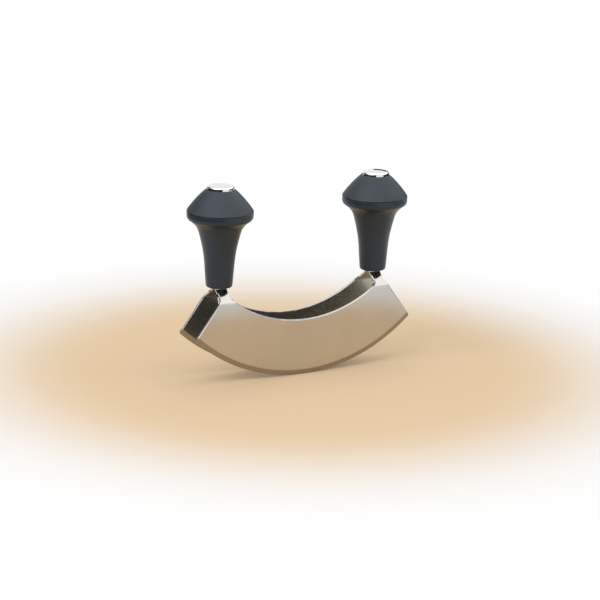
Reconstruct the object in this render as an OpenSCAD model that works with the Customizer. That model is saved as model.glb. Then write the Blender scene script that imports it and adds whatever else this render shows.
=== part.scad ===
// Two-blade mezzaluna with upright palm-knob handles.
// Each blade is a crescent of folded steel sheet. Its two necks lean inwards and end
// in upright tangs, which are riveted to a tie rod inside each handle.
// X runs along the blades, Y across them, and Z up from the lowest point of the edges.

/* [Blades] */
// Straight distance between the two lower corners of a blade
blade_chord = 155.8; // [145:0.1:166]
// Radius of the curved cutting edge
edge_radius = 115.6; // [108:0.1:126]
// Radius of the hollow upper edge
spine_radius = 85.3; // [80:0.1:92]
// Height of a blade at its middle, from cutting edge to hollow upper edge
blade_depth = 36.3; // [32:0.1:38]
// Thickness of the blade sheet
sheet_t = 2; // [1.2:0.1:2.4]
// Clear gap between the two blades
blade_gap = 20.4; // [16:0.1:28]
// Width of the ground bevel, on both faces of the cutting edge
bevel_w = 3.2; // [2:0.1:6]
// Thickness left at the ground edge
edge_t = 0.2; // [0.1:0.05:0.5]
// Rounding of the lower corners
corner_round = 1; // [0.4:0.1:2.5]

/* [Necks and tangs] */
// Height of the fold where each neck leaves its blade
fold_height = 51.5; // [49:0.1:54]
// Lean of the neck from upright, in degrees
neck_lean = 52; // [45:1:60]
// Inside radius of both bends of the neck
bend_radius = 0.9; // [0.5:0.1:2.5]
// Width of the tang inside the handle
tang_w = 7.6; // [6.5:0.1:9.5]
// Extra width of the neck at the fold, on its outer side
neck_flare = 2.2; // [0:0.1:3]
// Height over which the neck loses that extra width, above the fold
neck_flare_h = 4.8; // [3:0.1:7]
// Upright stretch of the tang between neck and handle
neck_rise = 0.75; // [0.4:0.05:3]
// Length of the tang inside the handle
tang_len = 24; // [18:0.5:28]

/* [Handle stem] */
// Distance of the handle's axis from the lower corner of the blade, along the blade
handle_inset = 21.9; // [19:0.1:26]
// Height of the stem, up to the crease under the palm knob
stem_h = 48.4; // [44:0.1:54]
// Diameter of the stem just above its rounded foot
stem_foot_d = 16.9; // [14.5:0.1:20]
// Rounding of the foot
foot_round = 1.3; // [0.5:0.1:3]
// Diameter of the stem where its taper turns into the flare
stem_neck_d = 27; // [25:0.1:31]
// Height of the flare and rim together
flare_h = 12.8; // [10:0.1:14]
// Diameter of the rim
rim_d = 42; // [38:0.1:46]
// Height of the rim, from the end of the flare to the crease
rim_band = 5.5; // [4.5:0.1:7]
// Width of the rounding that turns the flare up into the rim
rim_turn_w = 1.6; // [0.8:0.1:3]
// Height of that rounding
rim_turn_h = 3.2; // [1.5:0.1:4]
// Chamfer on both sides of the crease
crease = 0.45; // [0.2:0.05:0.8]

/* [Palm knob] */
// Height of the palm knob
knob_h = 14; // [12:0.1:17]
// Diameter of the flat top of the palm knob
knob_top_d = 18; // [17:0.1:22]
// Diameter of the spigot that centres the knob in the stem
spigot_d = 24; // [20:0.5:28]
// Length of that spigot
spigot_h = 3; // [2:0.1:4]

/* [End cap] */
// Diameter of the cap
cap_d = 17.3; // [15:0.1:18]
// Height of the cap above the knob
cap_h = 3; // [2.2:0.1:4]
// Height of the domed top within that
cap_dome = 0.9; // [0.2:0.1:1.4]
// Rounding between the wall and the top of the cap
cap_round = 1.1; // [0.4:0.1:1.6]
// Length of the hollow plug under the cap
cap_plug_h = 5; // [3:0.1:6]
// Wall of that plug
cap_plug_wall = 1.1; // [0.6:0.1:1.2]

/* [Tie rod and fasteners] */
// Diameter of the tie rod
rod_d = 5; // [4:0.5:5]
// Thickness of the flat lower end of the rod, between the tangs
rod_flat_t = 3; // [2:0.1:4]
// Distance from the foot of the stem up to the rod's lower end
rod_foot_z = 1; // [0.5:0.1:3]
// Diameter of a tang rivet
rivet_d = 3; // [2.5:0.1:3.5]
// Diameter of the flush head of a rivet
rivet_head_d = 4.4; // [4:0.1:5]
// Depth of the flush head of a rivet
rivet_head_h = 0.7; // [0.4:0.1:0.9]
// Distance between the two rivets of a handle
rivet_pitch = 11; // [8:0.5:13]
// Diameter of the pocket for washer and nut in the knob
pocket_d = 12; // [11.5:0.1:13]
// Depth of that pocket
pocket_h = 8.8; // [8.2:0.1:9.5]
// Outer diameter of the washer
washer_d = 11; // [10:0.1:11.3]
// Thickness of the washer
washer_t = 1; // [0.8:0.1:1.6]
// Width of the nut across its flats
nut_af = 8; // [7:0.1:8]
// Height of the nut
nut_h = 4; // [3:0.1:5]
// Length of rod that stands out of the nut
rod_end = 1.2; // [0.5:0.1:2]

/* [Fits] */
// Clearance on each side of the tangs in their slot
slot_gap = 0.15; // [0.05:0.05:0.4]
// Clearance round the rod in stem and knob
rod_gap = 0.2; // [0.1:0.05:0.5]
// Clearance round the knob's spigot, and below it
spigot_gap = 0.1; // [0.05:0.05:0.3]
// Clearance round the cap's plug
plug_gap = 0.05; // [0.02:0.01:0.2]
// Clearance round a rivet, and between nut and rod
pin_gap = 0.05; // [0.02:0.01:0.2]

/* [Hidden] */
$fn = 96;
// Overshoot of a cutting shape past the face it cuts
cut = 1;
// How far the rounding of a corner crosses the lines that it rounds, in place of touching
corner_cross = 0.03;
// Number of steps along one smooth curve, and round one bend
curve_steps = 16;
bend_steps = 10;

handle_x = blade_chord / 2 - handle_inset;
blade_outer_y = blade_gap / 2 + sheet_t;
tang_outer_y = rod_flat_t / 2 + sheet_t;
outer_bend = bend_radius + sheet_t;

// Lower corner of a blade, outer end of its fold, and the centre of the edge's arc
corner = [
  blade_chord / 2,
  edge_radius - sqrt(pow(edge_radius, 2) - pow(blade_chord / 2, 2))
];
fold_end = [handle_x + tang_w / 2 + neck_flare, fold_height];
edge_centre = [0, edge_radius];

// Sloping length of the neck between its bends, and the height where it is upright again
neck_in = blade_outer_y - tang_outer_y;
bends_in = (outer_bend + bend_radius) * (1 - cos(neck_lean));
neck_slope = (neck_in - bends_in) / sin(neck_lean);
upright_z = fold_height + (outer_bend + bend_radius) * sin(neck_lean) + neck_slope * cos(neck_lean);

handle_z = upright_z + neck_rise;
knob_z = stem_h;
top_z = stem_h + knob_h;
tang_top_z = handle_z + tang_len;
pocket_floor_z = top_z - pocket_h;
nut_z = pocket_floor_z + washer_t;
rod_top_z = nut_z + nut_h + rod_end;
rivet_z = [(tang_len - rivet_pitch) / 2, (tang_len + rivet_pitch) / 2];

// Point at a distance along a direction given in degrees
function polar(length, angle) = length * [cos(angle), sin(angle)];

// Points along a smooth curve that leaves a in one direction and reaches b in another.
// pull says how long it holds each direction, as a share of the distance from a to b.
function curve(a, angle_a, b, angle_b, pull) =
  let (
    near_a = a + polar(pull * norm(b - a), angle_a),
    near_b = b - polar(pull * norm(b - a), angle_b)
  )
  [
    for (i = [0 : curve_steps])
      let (t = i / curve_steps, s = 1 - t)
        s * s * s * a + 3 * s * s * t * near_a + 3 * s * t * t * near_b + t * t * t * b
  ];

// Points along a circular arc
function arc(centre, r, from, to) = [
  for (i = [0 : bend_steps])
    centre + polar(r, from + (to - from) * i / bend_steps)
];

// Folded sheet in section, seen along the blade: upright blade, leaning neck, upright tang
module sheet_section() {
  lower_centre = [blade_outer_y - outer_bend, fold_height];
  upper_centre = [tang_outer_y + bend_radius, upright_z];
  polygon(concat(
    [[blade_outer_y, -cut]],
    arc(lower_centre, outer_bend, 0, neck_lean),
    arc(upper_centre, bend_radius, 180 + neck_lean, 180),
    [[tang_outer_y, tang_top_z], [tang_outer_y - sheet_t, tang_top_z]],
    arc(upper_centre, outer_bend, 180, 180 + neck_lean),
    arc(lower_centre, bend_radius, neck_lean, 0),
    [[blade_outer_y - sheet_t, -cut]]
  ));
}

// What the rounding of the right lower corner takes off. Its circle nearly touches the
// straight end of the blade and the cutting edge from within, and crosses both by a hair.
module corner_waste() {
  inset = corner_round - corner_cross;
  along = (fold_end - corner) / norm(fold_end - corner);
  inward = [-along[1], along[0]];
  from_edge_centre = corner + inset * inward - edge_centre;
  middle = from_edge_centre * along;
  slide = -middle - sqrt(
    pow(middle, 2) - pow(norm(from_edge_centre), 2) + pow(edge_radius - inset, 2)
  );
  centre = corner + inset * inward + slide * along;
  near_edge = edge_centre + (centre - edge_centre) * edge_radius / (edge_radius - inset);
  difference() {
    polygon([centre, corner + slide * along, 2 * corner - centre, near_edge]);
    translate(centre)
      circle(r = corner_round);
  }
}

// Outline of a blade from the front: crescent, straight ends, necks and tangs
module blade_outline() {
  tang_in_x = handle_x - tang_w / 2;
  tang_out_x = handle_x + tang_w / 2;
  half = [corner, fold_end, [tang_out_x, fold_height + neck_flare_h], [tang_out_x, tang_top_z]];
  difference() {
    intersection() {
      translate(edge_centre)
        circle(r = edge_radius);
      polygon(concat(
        [[corner[0], 0]],
        half,
        [for (i = [len(half) - 1 : -1 : 0]) [-half[i][0], half[i][1]]],
        [[-corner[0], 0]]
      ));
    }
    intersection() {
      translate([0, blade_depth + spine_radius])
        circle(r = spine_radius);
      translate([-tang_in_x, 0])
        square([2 * tang_in_x, 2 * tang_top_z]);
    }
    for (side = [0, 1])
      mirror([side, 0])
        corner_waste();
  }
}

// Ring that grinds one face of the cutting edge
module bevel_cutter() {
  rotate_extrude()
    polygon([
      [edge_radius - bevel_w, sheet_t / 2],
      [edge_radius, edge_t / 2],
      [edge_radius + cut, edge_t / 2],
      [edge_radius + cut, sheet_t / 2 + cut],
      [edge_radius - bevel_w, sheet_t / 2 + cut]
    ]);
}

// Hole through a tang with a countersink on its outer face
module rivet_hole() {
  rotate([90, 0, 0]) {
    cylinder(d = rivet_d + 2 * pin_gap, h = 2 * tang_outer_y + 2 * cut, center = true);
    for (face = [0, 1])
      mirror([0, 0, face])
        translate([0, 0, tang_outer_y - rivet_head_h])
          cylinder(
            d1 = rivet_d + 2 * pin_gap,
            d2 = rivet_head_d + 2 * pin_gap,
            h = rivet_head_h
          );
  }
}

// Blade on the +Y side
module blade() {
  color("#c3c0bb")
    difference() {
      intersection() {
        rotate([90, 0, 90])
          linear_extrude(height = blade_chord + 2 * cut, center = true)
            sheet_section();
        rotate([90, 0, 0])
          linear_extrude(height = 2 * blade_outer_y + 2 * cut, center = true)
            blade_outline();
      }
      translate([0, blade_outer_y - sheet_t / 2, edge_radius])
        rotate([90, 0, 0])
          for (face = [0, 1])
            mirror([0, 0, face])
              bevel_cutter();
      for (side = [-1, 1], z = rivet_z)
        translate([side * handle_x, 0, handle_z + z])
          rivet_hole();
    }
}

// Places a piece of one handle: side is -1 for left and 1 for right
module at_handle(side) {
  translate([side * handle_x, 0, handle_z])
    children();
}

// Trumpet-shaped lower part of a handle
module stem() {
  foot = [stem_foot_d / 2, foot_round];
  neck = [stem_neck_d / 2, stem_h - flare_h];
  rim_r = rim_d / 2;
  flare_end = [rim_r - rim_turn_w, stem_h - rim_band];
  rim_start = [rim_r, flare_end[1] + rim_turn_h];
  // Directions of the outline, in degrees from level
  foot_angle = 85;
  neck_angle = 74;
  flare_angle = 33;
  slot_w = tang_w + 2 * slot_gap;
  slot_t = 2 * tang_outer_y + 2 * slot_gap;
  color("#33383d")
    difference() {
      rotate_extrude()
        polygon(concat(
          [[0, 0]],
          arc(foot - [foot_round, 0], foot_round, -90, 0),
          curve(foot, foot_angle, neck, neck_angle, 0.44),
          curve(neck, neck_angle, flare_end, flare_angle, 0.36),
          curve(flare_end, flare_angle, rim_start, 90, 0.4),
          [[rim_r, stem_h - crease], [rim_r - crease, stem_h], [0, stem_h]]
        ));
      translate([-slot_w / 2, -slot_t / 2, -cut])
        cube([slot_w, slot_t, tang_len + cut]);
      cylinder(d = rod_d + 2 * rod_gap, h = stem_h + cut);
      translate([0, 0, stem_h - spigot_h - spigot_gap])
        cylinder(d = spigot_d + 2 * spigot_gap, h = spigot_h + spigot_gap + cut);
    }
}

// Cone that the palm presses on, with a centring spigot and a pocket for the nut
module palm_knob() {
  rim_r = rim_d / 2;
  // Directions of the outline at the rim and at the flat top, in degrees from level
  rim_angle = 121;
  top_angle = 146;
  color("#4a4f56")
    translate([0, 0, knob_z])
      difference() {
        rotate_extrude()
          polygon(concat(
            [[0, -spigot_h], [spigot_d / 2, -spigot_h], [spigot_d / 2, 0], [rim_r - crease, 0]],
            curve([rim_r, crease], rim_angle, [knob_top_d / 2, knob_h], top_angle, 0.23),
            [[0, knob_h]]
          ));
        translate([0, 0, -spigot_h - cut])
          cylinder(d = rod_d + 2 * rod_gap, h = knob_h + spigot_h + 2 * cut);
        translate([0, 0, knob_h - pocket_h])
          cylinder(d = pocket_d, h = pocket_h + cut);
      }
}

// Polished steel cap with a hollow plug that presses into the pocket
module end_cap() {
  plug_r = pocket_d / 2 - plug_gap;
  round_centre = [cap_d / 2 - cap_round, cap_h - cap_dome - cap_round];
  dome_slope = atan(2 * cap_dome / round_centre[0]);
  dome_start = round_centre + polar(cap_round, 90 - dome_slope);
  color("#dcdad6")
    translate([0, 0, top_z])
      rotate_extrude()
        polygon(concat(
          [
            [0, 0],
            [plug_r - cap_plug_wall, 0],
            [plug_r - cap_plug_wall, -cap_plug_h],
            [plug_r, -cap_plug_h],
            [plug_r, 0],
            [cap_d / 2, 0]
          ],
          arc(round_centre, cap_round, 0, 90 - dome_slope),
          curve(dome_start, 180 - dome_slope, [0, cap_h], 180, 0.33)
        ));
}

// Rod with a flat lower end between the tangs
module tie_rod() {
  color("#9b9a97") {
    difference() {
      translate([-tang_w / 2, -rod_flat_t / 2, rod_foot_z])
        cube([tang_w, rod_flat_t, tang_len - rod_foot_z]);
      for (z = rivet_z)
        translate([0, 0, z])
          rotate([90, 0, 0])
            cylinder(d = rivet_d + 2 * pin_gap, h = rod_flat_t + 2 * cut, center = true);
    }
    translate([0, 0, tang_len])
      cylinder(d = rod_d, h = rod_top_z - tang_len);
  }
}

// Two rivets with flush heads
module tang_rivets() {
  color("#b5b3af")
    for (z = rivet_z)
      translate([0, 0, z])
        rotate([90, 0, 0]) {
          cylinder(d = rivet_d, h = 2 * tang_outer_y, center = true);
          for (face = [0, 1])
            mirror([0, 0, face])
              translate([0, 0, tang_outer_y - rivet_head_h])
                cylinder(d1 = rivet_d, d2 = rivet_head_d, h = rivet_head_h);
        }
}

module washer() {
  color("#a8a7a4")
    translate([0, 0, pocket_floor_z])
      difference() {
        cylinder(d = washer_d, h = washer_t);
        translate([0, 0, -cut])
          cylinder(d = rod_d + 2 * rod_gap, h = washer_t + 2 * cut);
      }
}

module nut() {
  color("#a09f9b")
    translate([0, 0, nut_z])
      difference() {
        cylinder(d = nut_af / cos(30), h = nut_h, $fn = 6);
        translate([0, 0, -cut])
          cylinder(d = rod_d + 2 * pin_gap, h = nut_h + 2 * cut);
      }
}

mirror([0, 1, 0]) blade();  // front_blade
blade();  // back_blade
at_handle(-1) stem();  // left_stem
at_handle(1) stem();  // right_stem
at_handle(-1) palm_knob();  // left_palm_knob
at_handle(1) palm_knob();  // right_palm_knob
at_handle(-1) end_cap();  // left_end_cap
at_handle(1) end_cap();  // right_end_cap
at_handle(-1) tie_rod();  // left_tie_rod
at_handle(1) tie_rod();  // right_tie_rod
at_handle(-1) tang_rivets();  // left_tang_rivets
at_handle(1) tang_rivets();  // right_tang_rivets
at_handle(-1) washer();  // left_washer
at_handle(1) washer();  // right_washer
at_handle(-1) nut();  // left_nut
at_handle(1) nut();  // right_nut
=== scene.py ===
"""A two-bladed mezzaluna with upright palm-knob handles, standing on its cutting edges."""
import math

import bmesh
import bpy
from mathutils import Matrix, Vector
from mathutils.geometry import interpolate_bezier


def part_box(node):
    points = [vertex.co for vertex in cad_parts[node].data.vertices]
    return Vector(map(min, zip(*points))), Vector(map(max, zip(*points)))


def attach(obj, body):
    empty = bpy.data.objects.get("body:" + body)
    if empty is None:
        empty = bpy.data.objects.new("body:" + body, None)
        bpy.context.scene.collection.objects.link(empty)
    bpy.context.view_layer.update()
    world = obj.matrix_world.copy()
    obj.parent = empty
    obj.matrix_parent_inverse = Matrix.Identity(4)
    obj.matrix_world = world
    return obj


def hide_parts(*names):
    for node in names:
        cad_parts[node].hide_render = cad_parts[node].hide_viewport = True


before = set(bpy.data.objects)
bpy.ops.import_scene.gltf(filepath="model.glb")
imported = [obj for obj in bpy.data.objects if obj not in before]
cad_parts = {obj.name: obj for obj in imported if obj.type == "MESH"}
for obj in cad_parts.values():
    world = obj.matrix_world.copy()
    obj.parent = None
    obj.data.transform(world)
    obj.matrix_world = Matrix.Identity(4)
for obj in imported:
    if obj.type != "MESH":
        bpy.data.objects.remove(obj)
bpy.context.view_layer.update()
mm = 0.001

# Camera. It looks down on the tool from the front left, from about ten times its length,
# with a long lens. Its place was worked out from the outlines of blades and handles.
focal_pixels = 2450
image_pixels = 600
sensor_width = 36
nearest_seen = 10 * mm
farthest_seen = 20
azimuth = math.radians(-29.44)
elevation = math.radians(14.88)
roll = math.radians(1.37)
target = Vector((2.56, 0, 45.62)) * mm
distance = 1569.4 * mm

back = Vector((
    math.sin(azimuth) * math.cos(elevation),
    -math.cos(azimuth) * math.cos(elevation),
    math.sin(elevation),
))
level_right = Vector((math.cos(azimuth), math.sin(azimuth), 0))
level_up = back.cross(level_right)
right = level_right * math.cos(roll) + level_up * math.sin(roll)
up = back.cross(right)
camera_data = bpy.data.cameras.new("camera")
camera_data.sensor_width = sensor_width
camera_data.lens = sensor_width * focal_pixels / image_pixels
camera_data.clip_start = nearest_seen
camera_data.clip_end = farthest_seen
camera = bpy.data.objects.new("camera", camera_data)
camera.matrix_world = (
    Matrix.Translation(target + back * distance)
    @ Matrix((right, up, back)).transposed().to_4x4()
)
bpy.context.scene.collection.objects.link(camera)
bpy.context.scene.camera = camera
bpy.context.scene.view_settings.view_transform = "Standard"


# Studio. The tool stands on a matt floor, cream around it and white further out, where it
# runs into a white backdrop. A broad soft lamp hangs over it and a smaller one on its left, and
# strips drawn as black felt stand round it out of the picture: seen only in the steel and the
# plastic, they are painted dark reflections, for the dark lines in the steel.
def linear(hex_colour):
    """Linear RGBA of an sRGB colour such as #c8c4bf."""
    def channel(start):
        value = int(hex_colour[start:start + 2], 16) / 255
        return value / 12.92 if value <= 0.04045 else ((value + 0.055) / 1.055) ** 2.4
    return (channel(1), channel(3), channel(5), 1)


def add_node(tree, kind, settings=None, links=None):
    """Adds a node. settings holds properties and socket values, links its incoming sockets."""
    made = tree.nodes.new(kind)
    for name, value in (settings or {}).items():
        if isinstance(name, str) and hasattr(made, name):
            setattr(made, name, value)
        else:
            made.inputs[name].default_value = value
    for name, socket in (links or {}).items():
        tree.links.new(socket, made.inputs[name])
    return made


def new_material(name):
    """An empty node material with its tree, and the tree's object coordinates."""
    material = bpy.data.materials.new(name)
    material.use_nodes = True
    tree = material.node_tree
    tree.nodes.clear()
    return material, tree, add_node(tree, "ShaderNodeTexCoord").outputs["Object"]


def new_object(name, bm):
    """Makes a finished bmesh an object at the origin."""
    mesh = bpy.data.meshes.new(name)
    bm.to_mesh(mesh)
    bm.free()
    made = bpy.data.objects.new(name, mesh)
    bpy.context.scene.collection.objects.link(made)
    return made


floor_half = 6

# The squarish outline of the cream, and the fade across it for light and reflections
cream_half = (147 * mm, 161 * mm)
cream_squareness = 12
cream_fade = (0.75, 1.35)

# How far from the middle the backdrop begins and is fully white
sweep_start = 130 * mm
sweep_end = 320 * mm

floor_cream = "#efd3ae"
floor_white = "#fbfaf9"
floor_roughness = 0.9
floor_gloss = 0.1


def seen_rays(tree):
    """1 for the rays that show something to the camera, straight or by a mirror or glass."""
    ray = add_node(tree, "ShaderNodeLightPath")
    seen = ray.outputs["Is Camera Ray"]
    for kind in ("Is Glossy Ray", "Is Transmission Ray"):
        seen = add_node(
            tree, "ShaderNodeMath", {"operation": "MAXIMUM"}, {0: seen, 1: ray.outputs[kind]}
        ).outputs[0]
    return seen


def matt_floor_paint():
    """Matt paint, almost without gloss, cream round the tool and white further out.

    The camera sees it turn white where the backdrop begins. In the steel, and for the light
    that it throws, it turns white over a shorter way, near a squarish outline.
    """
    material, tree, place = new_material("matt_floor_paint")
    sides = add_node(tree, "ShaderNodeSeparateXYZ", links={0: place})
    powers = []
    for axis, half in enumerate(cream_half):
        share = add_node(
            tree, "ShaderNodeMath", {"operation": "DIVIDE", 1: half}, {0: sides.outputs[axis]}
        )
        share = add_node(tree, "ShaderNodeMath", {"operation": "ABSOLUTE"}, {0: share.outputs[0]})
        powers.append(add_node(
            tree, "ShaderNodeMath", {"operation": "POWER", 1: cream_squareness},
            {0: share.outputs[0]},
        ))
    total = add_node(
        tree, "ShaderNodeMath", {"operation": "ADD"},
        {0: powers[0].outputs[0], 1: powers[1].outputs[0]},
    )
    fade = add_node(
        tree, "ShaderNodeMapRange",
        {
            "interpolation_type": "SMOOTHSTEP",
            "From Min": cream_fade[0], "From Max": cream_fade[1],
        },
        {"Value": total.outputs[0]},
    )
    away = add_node(tree, "ShaderNodeVectorMath", {"operation": "LENGTH"}, {0: place})
    sweep = add_node(
        tree, "ShaderNodeMapRange",
        {"interpolation_type": "SMOOTHSTEP", "From Min": sweep_start, "From Max": sweep_end},
        {"Value": away.outputs["Value"]},
    )
    ray = add_node(tree, "ShaderNodeLightPath")
    whiteness = add_node(
        tree, "ShaderNodeMix", {"data_type": "FLOAT"},
        {0: ray.outputs["Is Camera Ray"], 2: fade.outputs[0], 3: sweep.outputs[0]},
    )
    colour = add_node(
        tree, "ShaderNodeMix",
        {"data_type": "RGBA", 6: linear(floor_cream), 7: linear(floor_white)},
        {0: whiteness.outputs[0]},
    )
    paint = add_node(
        tree, "ShaderNodeBsdfPrincipled",
        {"Roughness": floor_roughness, "Specular IOR Level": floor_gloss},
        {"Base Color": colour.outputs[2]},
    )
    lit = add_node(
        tree, "ShaderNodeMath", {"operation": "MULTIPLY"},
        {0: sweep.outputs[0], 1: seen_rays(tree)},
    )
    backdrop = add_node(tree, "ShaderNodeEmission", {"Strength": 1})
    surface = add_node(
        tree, "ShaderNodeMixShader",
        links={0: lit.outputs[0], 1: paint.outputs[0], 2: backdrop.outputs[0]},
    )
    add_node(tree, "ShaderNodeOutputMaterial", links={"Surface": surface.outputs[0]})
    return material


floor_bm = bmesh.new()
bmesh.ops.create_grid(floor_bm, x_segments=1, y_segments=1, size=floor_half)
floor = new_object("floor", floor_bm)
floor.data.materials.append(matt_floor_paint())

# The room lights the tool with less than the full white that the camera sees
room_light = 0.5
room_white = 1
room_colour = "#ffffff"
room = bpy.data.worlds.new("room")
bpy.context.scene.world = room
room.use_nodes = True
room_tree = room.node_tree
room_tree.nodes.clear()
strength = add_node(
    room_tree, "ShaderNodeMapRange", {"To Min": room_light, "To Max": room_white},
    {"Value": seen_rays(room_tree)},
)
sky = add_node(
    room_tree, "ShaderNodeBackground", {"Color": linear(room_colour)},
    {"Strength": strength.outputs[0]},
)
add_node(room_tree, "ShaderNodeOutputWorld", links={"Surface": sky.outputs[0]})

# Each lamp is a square, with its place and side in metres and its power in watts
for lamp_name, lamp_place, lamp_side, lamp_power in (
    ("lamp_over", (0.5, -0.1, 1.0), 2.3, 8),
    ("lamp_left", (-0.9, -0.3, 0.9), 0.9, 5.5),
):
    lamp_data = bpy.data.lights.new(lamp_name, "AREA")
    lamp_data.size = lamp_side
    lamp_data.energy = lamp_power
    lamp = bpy.data.objects.new(lamp_name, lamp_data)
    lamp.location = lamp_place
    lamp.rotation_euler = (target - lamp.location).to_track_quat("-Z", "Y").to_euler()
    bpy.context.scene.collection.objects.link(lamp)


reflection_felt_dark = "#2a2825"
reflection_felt_light = "#403c37"
felt_clump = 4 * mm
flag_steps = 24


def dark_reflection_felt():
    """Painted dark reflection, drawn as black wool felt: no shine at all, and a faint mottle
    where its fibres clump.
    """
    material, tree, place = new_material("dark_reflection_felt")
    fibres = add_node(tree, "ShaderNodeTexNoise", {"Scale": 1 / felt_clump}, {"Vector": place})
    colour = add_node(
        tree, "ShaderNodeMix",
        {"data_type": "RGBA", 6: linear(reflection_felt_dark), 7: linear(reflection_felt_light)},
        {0: fibres.outputs["Fac"]},
    )
    felt = add_node(
        tree, "ShaderNodeBsdfDiffuse", {"Roughness": 1}, {"Color": colour.outputs[2]}
    )
    add_node(tree, "ShaderNodeOutputMaterial", links={"Surface": felt.outputs[0]})
    return material


def hung_felt(away, first_angle, last_angle, low, high):
    """A strip of the painted dark reflections, bent round the tool, from one direction to
    another, both in degrees.
    """
    bm = bmesh.new()
    start = math.radians(first_angle)
    post_foot = Vector((math.cos(start), math.sin(start), 0)) * away
    post = [bm.verts.new(post_foot + Vector((0, 0, height))) for height in (low, high)]
    post_edge = bm.edges.new(post)
    bmesh.ops.spin(
        bm, geom=[*post, post_edge], cent=(0, 0, 0), axis=(0, 0, 1),
        angle=math.radians(last_angle - first_angle), steps=flag_steps,
    )
    return bm


# Each strip has its distance, its first and last direction, and the heights of its lower and
# upper edge, in metres and degrees
dark_reflection_finish = dark_reflection_felt()
for flag_name, flag_shape in (
    ("flag_left", (0.42, -107, -222, 0, 0.3)),
    ("flag_left_low", (0.42, -222, -250, 0, 0.08)),
    ("flag_left_high", (0.42, -222, -262, 0.17, 0.5)),
    ("flag_back", (0.6, 20, 105, 0, 0.05)),
    ("flag_right", (0.6, -46, 55, 0, 0.26)),
):
    flag = new_object(flag_name, hung_felt(*flag_shape))
    flag.data.materials.append(dark_reflection_finish)
    # The strips give no light, cast no shadow and stay out of the camera's sight: they are
    # painted dark reflections
    flag.visible_camera = False
    flag.visible_diffuse = False
    flag.visible_shadow = False

# Blades. Each is cut from 2 mm stainless sheet, ground to an edge on both faces and polished.
# Its ends run up into necks, which are folded in towards the other blade and then upright,
# and go on inside the handles as tangs.
blade_chord = 155.8 * mm
edge_radius = 115.6 * mm
spine_radius = 85.3 * mm
blade_depth = 36.3 * mm
sheet = 2 * mm
ground_width = 3.2 * mm
edge_thickness = 0.2 * mm
corner_cut = 0.92 * mm
corner_steps = 5
fold_height = 51.5 * mm
neck_lean = math.radians(52)
inner_bend = 0.9 * mm
tang_width = 7.6 * mm
neck_flare = 2.2 * mm
neck_flare_height = 4.8 * mm
neck_blend = 1.8 * mm
tang_outer = 3.5 * mm  # of a tang's outer face from the middle of the tool
arris = 0.65 * mm
arris_steps = 3
arris_angle = math.radians(30)
arc_steps = 40
bend_steps = 8
slope_steps = 14
tiny = 0.001 * mm

# The order of a blade's three finishes. A face whose normal leans further than this to the
# other blade has the inside finish
polished, ground, inside = range(3)
faces_inwards = -0.3

blade_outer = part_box("back_blade")[1].y
tang_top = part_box("back_blade")[1].z
stem_low, stem_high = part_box("right_stem")
handle_x = (stem_low.x + stem_high.x) / 2
edge_centre = Vector((0, blade_outer, edge_radius))
spine_centre = Vector((0, blade_outer, blade_depth + spine_radius))
ground_radius = edge_radius - ground_width
half_chord = blade_chord / 2
corner = Vector((
    half_chord, blade_outer, edge_radius - math.sqrt(edge_radius ** 2 - half_chord ** 2)
))
tang_in_x = handle_x - tang_width / 2
tang_out_x = handle_x + tang_width / 2
fold_out = Vector((tang_out_x + neck_flare, blade_outer, fold_height))
outer_bend = inner_bend + sheet
bends_in = (outer_bend + inner_bend) * (1 - math.cos(neck_lean))
neck_slope = (blade_outer - tang_outer - bends_in) / math.sin(neck_lean)
upright_z = (
    fold_height
    + (outer_bend + inner_bend) * math.sin(neck_lean)
    + neck_slope * math.cos(neck_lean)
)
through_sheet = Vector((0, 1, 0))
along_blade = Vector((1, 0, 0))


def arc_edges(bm, centre, start, angle):
    """Edges along an arc in the blade's plane. A positive angle runs from the middle outwards."""
    first = bm.verts.new(start)
    known = set(bm.verts)
    bmesh.ops.spin(
        bm, geom=[first], cent=centre, axis=-through_sheet, angle=angle, steps=arc_steps
    )
    new = [v for v in bm.verts if v == first or v not in known]
    edges = list({e for v in new for e in v.link_edges})
    return edges, max(new, key=lambda v: v.co.x)


def neck_side_x(height, inner):
    """How far the inner or outer side of a neck lies from the middle, at a height."""
    if inner:
        drop = spine_centre.z - height
        hollow = math.sqrt(max(spine_radius ** 2 - drop ** 2, 0))
        # The hollow edge runs smoothly into the tang's straight side
        near = max(neck_blend - abs(hollow - tang_in_x), 0)
        return min(hollow, tang_in_x) - near ** 2 / neck_blend / 4
    if height < fold_height:
        slant = (corner.x - fold_out.x) / (fold_height - corner.z)
    else:
        slant = neck_flare / neck_flare_height
    return max(fold_out.x + slant * (fold_height - height), tang_out_x)


def grow(bm, edge, shift):
    """Extrudes one edge by a vector and returns the new edge."""
    grown = bmesh.ops.extrude_edge_only(bm, edges=[edge])["geom"]
    new_verts = [v for v in grown if isinstance(v, bmesh.types.BMVert)]
    bmesh.ops.translate(bm, vec=shift, verts=new_verts)
    return bm.edges.get(new_verts)


def turn(bm, edge, centre, angle):
    """Bends the sheet on from one edge, round a line along the blade."""
    bent = bmesh.ops.spin(
        bm, geom=[edge, *edge.verts], cent=centre, axis=along_blade, angle=angle,
        steps=bend_steps,
    )["geom_last"]
    return next(e for e in bent if isinstance(e, bmesh.types.BMEdge))


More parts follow.
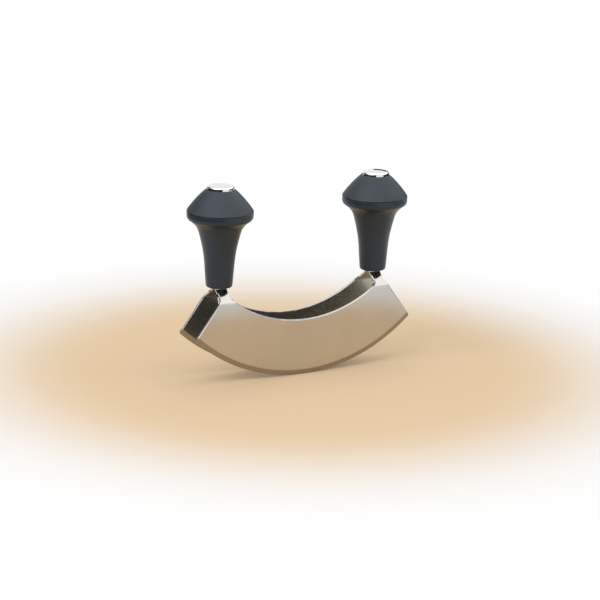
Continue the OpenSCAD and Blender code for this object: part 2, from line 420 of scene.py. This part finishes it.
def blade_skin():
    """The outer face of the back blade: half of it, mirrored."""
    bm = bmesh.new()

    # Where the ground line meets the straight end
    end_line = (fold_out - corner).normalized()
    reach = (corner - edge_centre).dot(end_line)
    slide = -reach - math.sqrt(reach ** 2 - edge_radius ** 2 + ground_radius ** 2)
    ground_end = corner + end_line * slide
    ground_angle = math.asin(ground_end.x / ground_radius)
    ground_edges, ground_last = arc_edges(
        bm, edge_centre, edge_centre - Vector((0, 0, ground_radius)), ground_angle
    )

    # The hollow upper edge ends where the fold begins, and the fold line goes on from it
    spine_angle = math.acos((spine_centre.z - fold_height) / spine_radius)
    spine_edges, spine_last = arc_edges(
        bm, spine_centre, spine_centre - Vector((0, 0, spine_radius)), spine_angle
    )
    fold_edge = bm.edges.new((spine_last, bm.verts.new(fold_out)))
    end_edge = bm.edges.new((ground_last, fold_edge.other_vert(spine_last)))
    middle_edge = bm.edges.new((
        min((v for e in ground_edges for v in e.verts), key=lambda v: v.co.x),
        min((v for e in spine_edges for v in e.verts), key=lambda v: v.co.x),
    ))
    bmesh.ops.contextual_create(
        bm, geom=[*ground_edges, *spine_edges, fold_edge, end_edge, middle_edge]
    )

    # The ground band below the flat face, down to the cutting edge
    band = bmesh.ops.extrude_edge_only(bm, edges=ground_edges)["geom"]
    band_verts = [v for v in band if isinstance(v, bmesh.types.BMVert)]
    widen = edge_radius / ground_radius
    bmesh.ops.scale(
        bm, vec=(widen, 1, widen), space=Matrix.Translation(-edge_centre), verts=band_verts
    )
    corner_vert = max(band_verts, key=lambda v: v.co.x)
    corner_vert.co = corner
    bmesh.ops.bevel(
        bm, geom=[corner_vert], affect="VERTICES", offset=corner_cut, segments=corner_steps,
        profile=0.5, material=-1,
    )

    # The fold, the sloping neck, the bend upright and the tang
    low_centre = Vector((0, blade_outer - outer_bend, fold_height))
    high_centre = Vector((0, tang_outer + inner_bend, upright_z))
    slope = Vector((0, -math.sin(neck_lean), math.cos(neck_lean))) * neck_slope
    last = turn(bm, fold_edge, low_centre, neck_lean)
    for _ in range(slope_steps):
        last = grow(bm, last, slope / slope_steps)
    last = turn(bm, last, high_centre, -neck_lean)
    grow(bm, last, Vector((0, 0, tang_top - upright_z)))

    bmesh.ops.mirror(
        bm, geom=[*bm.verts, *bm.edges, *bm.faces], axis="X", merge_dist=tiny
    )
    bmesh.ops.remove_doubles(bm, verts=bm.verts, dist=tiny)
    bmesh.ops.recalc_face_normals(bm, faces=bm.faces)
    return bm


def finish_blade(bm):
    """Gives the outer face its thickness, grinds the edge and rounds the other arrises."""
    outer = set(bm.verts)
    bmesh.ops.solidify(bm, geom=bm.faces[:], thickness=sheet)
    bmesh.ops.remove_doubles(bm, verts=bm.verts, dist=tiny)
    bmesh.ops.recalc_face_normals(bm, faces=bm.faces)

    # The sides of the necks stand square to the blade through its whole thickness
    for vert in bm.verts:
        if vert.co.z > fold_height - sheet / 2:
            side = neck_side_x(vert.co.z, abs(vert.co.x) < handle_x)
            vert.co.x = math.copysign(side, vert.co.x)

    # Each face loses thickness evenly from the ground line out to the cutting edge
    middle = blade_outer - sheet / 2
    for vert in bm.verts:
        out = math.hypot(vert.co.x, vert.co.z - edge_radius) - ground_radius
        if out > tiny:
            left = sheet + (edge_thickness - sheet) * min(out / ground_width, 1)
            vert.co.y = middle + math.copysign(left / 2, vert.co.y - middle)

    def finish_of(face):
        spot = face.calc_center_median()
        if math.hypot(spot.x, spot.z - edge_radius) > ground_radius:
            return ground
        return inside if face.normal.y < faces_inwards else polished

    for face in bm.faces:
        face.smooth = True
        face.material_index = finish_of(face)
    # An arris has its two ends on the same face of the sheet. The tang's top stays sharp
    arrises = [
        e for e in bm.edges
        if e.calc_face_angle() > arris_angle
        and len({v in outer for v in e.verts}) == 1
        and not any(f.material_index == ground for f in e.link_faces)
        and min(v.co.z for v in e.verts) < tang_top - tiny
    ]
    bmesh.ops.bevel(
        bm, geom=arrises, affect="EDGES", offset=arris, segments=arris_steps, profile=0.5,
        material=-1,
    )
    # The rounding leaves faces without area where arrises meet
    bmesh.ops.dissolve_degenerate(bm, dist=tiny, edges=bm.edges)
    for edge in bm.edges:
        at_ground_line = len({f.material_index == ground for f in edge.link_faces}) == 2
        edge.smooth = not at_ground_line and edge.calc_face_angle() < arris_angle


noise_span = {"From Min": 0.3, "From Max": 0.7}


def uneven_finish(tree, colour, tone, tone_noise, roughness, roughness_noise):
    """Shader links for a colour and a roughness that each vary between two values."""
    shade = add_node(
        tree, "ShaderNodeMapRange",
        {**noise_span, "To Min": tone[0], "To Max": tone[1]},
        {"Value": tone_noise.outputs["Fac"]},
    )
    shaded = add_node(
        tree, "ShaderNodeMix",
        {"data_type": "RGBA", "blend_type": "MULTIPLY", "Factor": 1, 6: linear(colour)},
        {7: shade.outputs[0]},
    )
    dulled = add_node(
        tree, "ShaderNodeMapRange",
        {**noise_span, "To Min": roughness[0], "To Max": roughness[1]},
        {"Value": roughness_noise.outputs["Fac"]},
    )
    return {"Base Color": shaded.outputs[2], "Roughness": dulled.outputs[0]}


polish_line = 0.4 * mm
polish_length = 30 * mm


def lines_along_sheet(tree, place):
    """Noise drawn out along the blade, as a polishing belt leaves it.

    The real lines are some 0.02 mm apart. They are drawn 0.4 mm apart, so that they show.
    """
    drawn_out = add_node(
        tree, "ShaderNodeMapping",
        {"Scale": (1 / polish_length, 1 / polish_line, 1 / polish_line)},
        {"Vector": place},
    )
    return add_node(
        tree, "ShaderNodeTexNoise", {"Scale": 1, "Detail": 3, "Roughness": 0.6},
        {"Vector": drawn_out.outputs[0]},
    )


steel_colour = "#c8c4bf"
steel_tone = (0.96, 1.03)
steel_cloud = 25 * mm
polish_roughness = (0.1, 0.17)
polish_depth = 0.0006 * mm


def polished_stainless_sheet():
    """Rolled stainless sheet, polished: a soft mirror with faint lines along the blade."""
    material, tree, place = new_material("polished_stainless_sheet")
    lines = lines_along_sheet(tree, place)
    clouds = add_node(
        tree, "ShaderNodeTexNoise", {"Scale": 1 / steel_cloud, "Detail": 2}, {"Vector": place}
    )
    relief = add_node(
        tree, "ShaderNodeBump", {"Distance": polish_depth}, {"Height": lines.outputs["Fac"]}
    )
    steel = add_node(
        tree, "ShaderNodeBsdfPrincipled",
        {"Metallic": 1},
        {
            **uneven_finish(tree, steel_colour, steel_tone, clouds, polish_roughness, lines),
            "Normal": relief.outputs[0],
        },
    )
    add_node(tree, "ShaderNodeOutputMaterial", links={"Surface": steel.outputs[0]})
    return material


# The grinding band's darker, browner base colour is a painted reflection of the shaded floor
# under the edge
ground_and_reflected_shade_colour = "#a39a90"
ground_tone = (0.88, 1.08)
ground_roughness = (0.22, 0.4)
grinding_line = 0.5 * mm
grinding_depth = 0.004 * mm


def ground_stainless_edge():
    """Stainless steel off a grinding wheel: duller, with fine lines square to the edge. Its base
    colour, darker and browner than the polished steel's, is a painted reflection of the shaded
    floor close under the edge.

    The real lines are some 0.05 mm apart. They are drawn 0.5 mm apart, so that they show.
    """
    material, tree, place = new_material("ground_stainless_edge")
    sides = add_node(tree, "ShaderNodeSeparateXYZ", links={0: place})
    below = add_node(
        tree, "ShaderNodeMath", {"operation": "SUBTRACT", 0: edge_radius},
        {1: sides.outputs["Z"]},
    )
    turned = add_node(
        tree, "ShaderNodeMath", {"operation": "ARCTAN2"},
        {0: sides.outputs["X"], 1: below.outputs[0]},
    )
    along = add_node(
        tree, "ShaderNodeMath", {"operation": "MULTIPLY", 1: edge_radius / grinding_line},
        {0: turned.outputs[0]},
    )
    lines = add_node(
        tree, "ShaderNodeTexNoise", {"noise_dimensions": "1D", "Scale": 1, "Detail": 3},
        {"W": along.outputs[0]},
    )
    relief = add_node(
        tree, "ShaderNodeBump", {"Distance": grinding_depth}, {"Height": lines.outputs["Fac"]}
    )
    steel = add_node(
        tree, "ShaderNodeBsdfPrincipled",
        {"Metallic": 1},
        {
            **uneven_finish(tree, ground_and_reflected_shade_colour, ground_tone, lines, ground_roughness, lines),
            "Normal": relief.outputs[0],
        },
    )
    add_node(tree, "ShaderNodeOutputMaterial", links={"Surface": steel.outputs[0]})
    return material


# The inner faces' plainer grey, and the diffuse haze left by a metallic under 1, are painted
# light between the blades
inside_painted_grey = "#aeaea9"
inside_tone = (0.99, 1.01)
inside_roughness = (0.2, 0.24)
inside_painted_haze_metallic = 0.93


def inside_steel_with_painted_light():
    """The inner faces: a duller mirror with a thin grey haze. The haze and the plainer grey are
    painted light, which sets how bright and how grey the faces look in the dark between the
    blades.
    """
    material, tree, place = new_material("inside_steel_with_painted_light")
    lines = lines_along_sheet(tree, place)
    steel = add_node(
        tree, "ShaderNodeBsdfPrincipled",
        {"Metallic": inside_painted_haze_metallic},
        uneven_finish(tree, inside_painted_grey, inside_tone, lines, inside_roughness, lines),
    )
    add_node(tree, "ShaderNodeOutputMaterial", links={"Surface": steel.outputs[0]})
    return material


blade_finishes = (
    polished_stainless_sheet(), ground_stainless_edge(), inside_steel_with_painted_light()
)
back_bm = blade_skin()
finish_blade(back_bm)
front_bm = back_bm.copy()
bmesh.ops.scale(front_bm, vec=(1, -1, 1), verts=front_bm.verts)
bmesh.ops.recalc_face_normals(front_bm, faces=front_bm.faces)
for blade_name, blade_bm, blade_node in (
    ("blade_sheet_back", back_bm, "back_blade"),
    ("blade_sheet_front", front_bm, "front_blade"),
):
    blade = new_object(blade_name, blade_bm)
    for finish in blade_finishes:
        blade.data.materials.append(finish)
    weighted = blade.modifiers.new("even_flats", "WEIGHTED_NORMAL")
    weighted.keep_sharp = True
    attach(blade, "root")
    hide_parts(blade_node)

# Stems. The trumpet-shaped lower part of a handle is moulded in black nylon, with a satin
# skin. Its slot takes the two tangs with the tie rod between them, its bore takes the rod,
# and the socket in its rim centres the palm knob.
foot_round = 1.3 * mm
foot_radius = 8.45 * mm
stem_height = 48.4 * mm
neck_radius = 13.5 * mm
flare_height = 12.8 * mm
rim_radius = 21 * mm
rim_band = 5.5 * mm
rim_turn = Vector((1.6, 0, 3.2)) * mm
crease = 0.45 * mm
socket_radius = 12.1 * mm
socket_depth = 3.1 * mm
bore_radius = 2.7 * mm
slot_half = Vector((3.95, 3.65, 0)) * mm
slot_depth = 24 * mm
foot_slope, foot_pull = 85, 0.44
neck_slant, flare_pull = 74, 0.36
flare_slope, rim_pull = 33, 0.4
turn_steps = 128
round_steps = 8
curve_steps = 24
crease_angle = math.radians(28)


def polar(length, angle):
    """A step in the plane of an outline, at an angle in degrees above level."""
    return length * Vector((math.cos(math.radians(angle)), 0, math.sin(math.radians(angle))))


def smooth_run(start, start_angle, end, end_angle, pull):
    """Points of a smooth curve between two places, with its direction at both ends."""
    hold = pull * (end - start).length
    return interpolate_bezier(
        start, start + polar(hold, start_angle), end - polar(hold, end_angle), end,
        curve_steps + 1,
    )


def turned_shape(outline):
    """Spins an outline of radii and heights round the upright axis."""
    bm = bmesh.new()
    verts = [bm.verts.new(point) for point in outline]
    edges = [bm.edges.new(pair) for pair in zip(verts, verts[1:])]
    bmesh.ops.spin(
        bm, geom=verts + edges, cent=(0, 0, 0), axis=(0, 0, 1), angle=math.tau,
        steps=turn_steps, use_merge=True,
    )
    return bm


def close_and_shade(bm):
    """Merges doubles, turns the faces outwards and keeps the creases sharp."""
    bmesh.ops.remove_doubles(bm, verts=bm.verts, dist=tiny)
    bmesh.ops.recalc_face_normals(bm, faces=bm.faces)
    for face in bm.faces:
        face.smooth = True
    for edge in bm.edges:
        edge.smooth = edge.calc_face_angle(0) < crease_angle


def open_edges(bm, height):
    """The edges round an opening at a height."""
    return [
        e for e in bm.edges
        if e.is_boundary and all(abs(v.co.z - height) < tiny for v in e.verts)
    ]


def carry_loop(bm, edges, move):
    """Extrudes a loop of edges, moves each new vertex and returns the new loop."""
    carried = bmesh.ops.extrude_edge_only(bm, edges=edges)["geom"]
    verts = {v for v in carried if isinstance(v, bmesh.types.BMVert)}
    for vert in verts:
        vert.co = move(vert.co)
    return [
        e for e in carried if isinstance(e, bmesh.types.BMEdge) and verts.issuperset(e.verts)
    ]


def stem_mesh():
    """A stem with its foot at the origin."""
    foot = Vector((foot_radius, 0, foot_round))
    neck = Vector((neck_radius, 0, stem_height - flare_height))
    flare_end = Vector((rim_radius - rim_turn.x, 0, stem_height - rim_band))
    rim_start = flare_end + rim_turn
    foot_arc = [
        foot - Vector((foot_round, 0, 0)) + polar(foot_round, -90 + 90 * i / round_steps)
        for i in range(round_steps)
    ]
    bm = turned_shape([
        *foot_arc,
        *smooth_run(foot, foot_slope, neck, neck_slant, foot_pull),
        *smooth_run(neck, neck_slant, flare_end, flare_slope, flare_pull)[1:],
        *smooth_run(flare_end, flare_slope, rim_start, 90, rim_pull)[1:],
        Vector((rim_radius, 0, stem_height - crease)),
        Vector((rim_radius - crease, 0, stem_height)),
        Vector((socket_radius, 0, stem_height)),
        Vector((socket_radius, 0, stem_height - socket_depth)),
        Vector((bore_radius, 0, stem_height - socket_depth)),
        Vector((bore_radius, 0, slot_depth)),
    ])

    # The slot goes up from the foot into the bore
    def onto_slot(place):
        square = place / max(abs(place.x), abs(place.y))
        return Vector((square.x * slot_half.x, square.y * slot_half.y, place.z))

    def up_slot(place):
        return place + Vector((0, 0, slot_depth))

    def onto_bore(place):
        square = Vector((place.x / slot_half.x, place.y / slot_half.y, 0))
        return square.normalized() * bore_radius + Vector((0, 0, place.z))

    loop = open_edges(bm, 0)
    for move in (onto_slot, up_slot, onto_bore):
        loop = carry_loop(bm, loop, move)
    close_and_shade(bm)
    return bm


plastic_ior = 1.5


def grained_plastic(name, colour, tone, roughness, grain_width, grain_depth, cloud_size):
    """A moulded or sprayed skin: a fine grain in tone and relief, a roughness in clouds."""
    material, tree, place = new_material(name)
    grain = add_node(
        tree, "ShaderNodeTexNoise", {"Scale": 1 / grain_width, "Detail": 2}, {"Vector": place}
    )
    clouds = add_node(
        tree, "ShaderNodeTexNoise", {"Scale": 1 / cloud_size, "Detail": 3}, {"Vector": place}
    )
    relief = add_node(
        tree, "ShaderNodeBump", {"Distance": grain_depth}, {"Height": grain.outputs["Fac"]}
    )
    plastic = add_node(
        tree, "ShaderNodeBsdfPrincipled",
        {"IOR": plastic_ior},
        {
            **uneven_finish(tree, colour, tone, grain, roughness, clouds),
            "Normal": relief.outputs[0],
        },
    )
    add_node(tree, "ShaderNodeOutputMaterial", links={"Surface": plastic.outputs[0]})
    return material


# Black nylon from a finely sparked mould: dark and even, with soft broad highlights. The real
# grain is some 0.05 mm wide. It is drawn 0.5 mm wide, so that it shows.
satin_moulded_nylon = grained_plastic(
    "satin_moulded_nylon", colour="#12222d", tone=(0.9, 1.1), roughness=(0.3, 0.4),
    grain_width=0.5 * mm, grain_depth=0.003 * mm, cloud_size=12 * mm,
)


def both_handles(piece_name, bm, node, finish):
    """Places one turned piece in the left and the right handle."""
    for side, side_name in ((-1, "left"), (1, "right")):
        placed = bm.copy()
        bmesh.ops.translate(
            placed, vec=(side * handle_x, 0, stem_low.z), verts=placed.verts
        )
        piece = new_object(piece_name + "_" + side_name, placed)
        piece.data.materials.append(finish)
        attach(piece, "root")
        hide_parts(side_name + "_" + node)
    bm.free()


both_handles("stem_shell", stem_mesh(), "stem", satin_moulded_nylon)

# Palm knobs. The cone that the palm presses on is moulded by itself and coated with matt
# soft-touch lacquer. Its spigot sits in the rim of the stem, its pocket holds the nut.
knob_height = 14 * mm
knob_top_radius = 9 * mm
spigot_radius = 12 * mm
spigot_height = 3 * mm
pocket_radius = 6 * mm
pocket_depth = 8.8 * mm
cone_low_slope, cone_top_slope, cone_pull = 121, 146, 0.23


def knob_mesh():
    """A palm knob with the foot of its stem at the origin."""
    rim = Vector((rim_radius, 0, stem_height + crease))
    top = Vector((knob_top_radius, 0, stem_height + knob_height))
    pocket_floor = top.z - pocket_depth
    spigot_low = stem_height - spigot_height
    bm = turned_shape([
        Vector((bore_radius, 0, pocket_floor)),
        Vector((bore_radius, 0, spigot_low)),
        Vector((spigot_radius, 0, spigot_low)),
        Vector((spigot_radius, 0, stem_height)),
        Vector((rim_radius - crease, 0, stem_height)),
        *smooth_run(rim, cone_low_slope, top, cone_top_slope, cone_pull),
        Vector((pocket_radius, 0, top.z)),
        Vector((pocket_radius, 0, pocket_floor)),
        Vector((bore_radius, 0, pocket_floor)),
    ])
    close_and_shade(bm)
    return bm


# Soft-touch lacquer, sprayed: blue-black, matt, brighter where light falls on it flat. The
# real grain is some 0.03 mm wide. It is drawn 0.4 mm wide, so that it shows.
soft_touch_lacquer = grained_plastic(
    "soft_touch_lacquer", colour="#303941", tone=(0.92, 1.08), roughness=(0.52, 0.62),
    grain_width=0.4 * mm, grain_depth=0.008 * mm, cloud_size=9 * mm,
)
both_handles("palm_cone", knob_mesh(), "palm_knob", soft_touch_lacquer)

# End caps. Each is drawn from stainless steel and polished bright, with a slightly domed
# top and a rounded shoulder. Its hollow plug is pressed into the pocket of the palm knob.
cap_radius = 8.65 * mm
cap_height = 3 * mm
cap_dome = 0.9 * mm
cap_round = 1.1 * mm
plug_radius = 5.95 * mm
plug_wall = 1.1 * mm
plug_height = 5 * mm
crown_pull = 0.33


def cap_mesh():
    """An end cap with the foot of its stem at the origin."""
    seat = stem_height + knob_height
    middle = Vector((cap_radius - cap_round, 0, seat + cap_height - cap_dome - cap_round))
    slope = math.degrees(math.atan(2 * cap_dome / middle.x))
    shoulder = [
        middle + polar(cap_round, (90 - slope) * i / round_steps) for i in range(round_steps + 1)
    ]
    crown = Vector((0, 0, seat + cap_height))
    bm = turned_shape([
        Vector((0, 0, seat)),
        Vector((plug_radius - plug_wall, 0, seat)),
        Vector((plug_radius - plug_wall, 0, seat - plug_height)),
        Vector((plug_radius, 0, seat - plug_height)),
        Vector((plug_radius, 0, seat)),
        Vector((cap_radius, 0, seat)),
        *shoulder,
        *smooth_run(shoulder[-1], 180 - slope, crown, 180, crown_pull)[1:],
    ])
    close_and_shade(bm)
    return bm


def hazy_steel(name, colour, tone, roughness, cloud_size):
    """Bare steel whose tone and roughness vary together in clouds."""
    material, tree, place = new_material(name)
    haze = add_node(
        tree, "ShaderNodeTexNoise", {"Scale": 1 / cloud_size, "Detail": 4}, {"Vector": place}
    )
    steel = add_node(
        tree, "ShaderNodeBsdfPrincipled",
        {"Metallic": 1},
        uneven_finish(tree, colour, tone, haze, roughness, haze),
    )
    add_node(tree, "ShaderNodeOutputMaterial", links={"Surface": steel.outputs[0]})
    return material


# Stainless steel, drawn and buffed bright: a near mirror, a little hazy from buffing
bright_polished_cap_steel = hazy_steel(
    "bright_polished_cap_steel", colour="#e8e6e3", tone=(0.97, 1.02), roughness=(0.06, 0.12),
    cloud_size=6 * mm,
)
both_handles("cap_disc", cap_mesh(), "end_cap", bright_polished_cap_steel)

# Fasteners inside the handles: a tie rod between the tangs, two rivets through them, and
# a washer and nut on top. They are plain steel parts, and only the rod's foot can be seen.

# Zinc-plated steel as it comes from the lathe: grey, with a dull uneven shine
plain_turned_steel = hazy_steel(
    "plain_turned_steel", colour="#a9a8a4", tone=(0.85, 1.05), roughness=(0.3, 0.5),
    cloud_size=3 * mm,
)
for side_name in ("left", "right"):
    for fastener in ("tie_rod", "tang_rivets", "washer", "nut"):
        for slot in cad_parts[side_name + "_" + fastener].material_slots:
            slot.material = plain_turned_steel
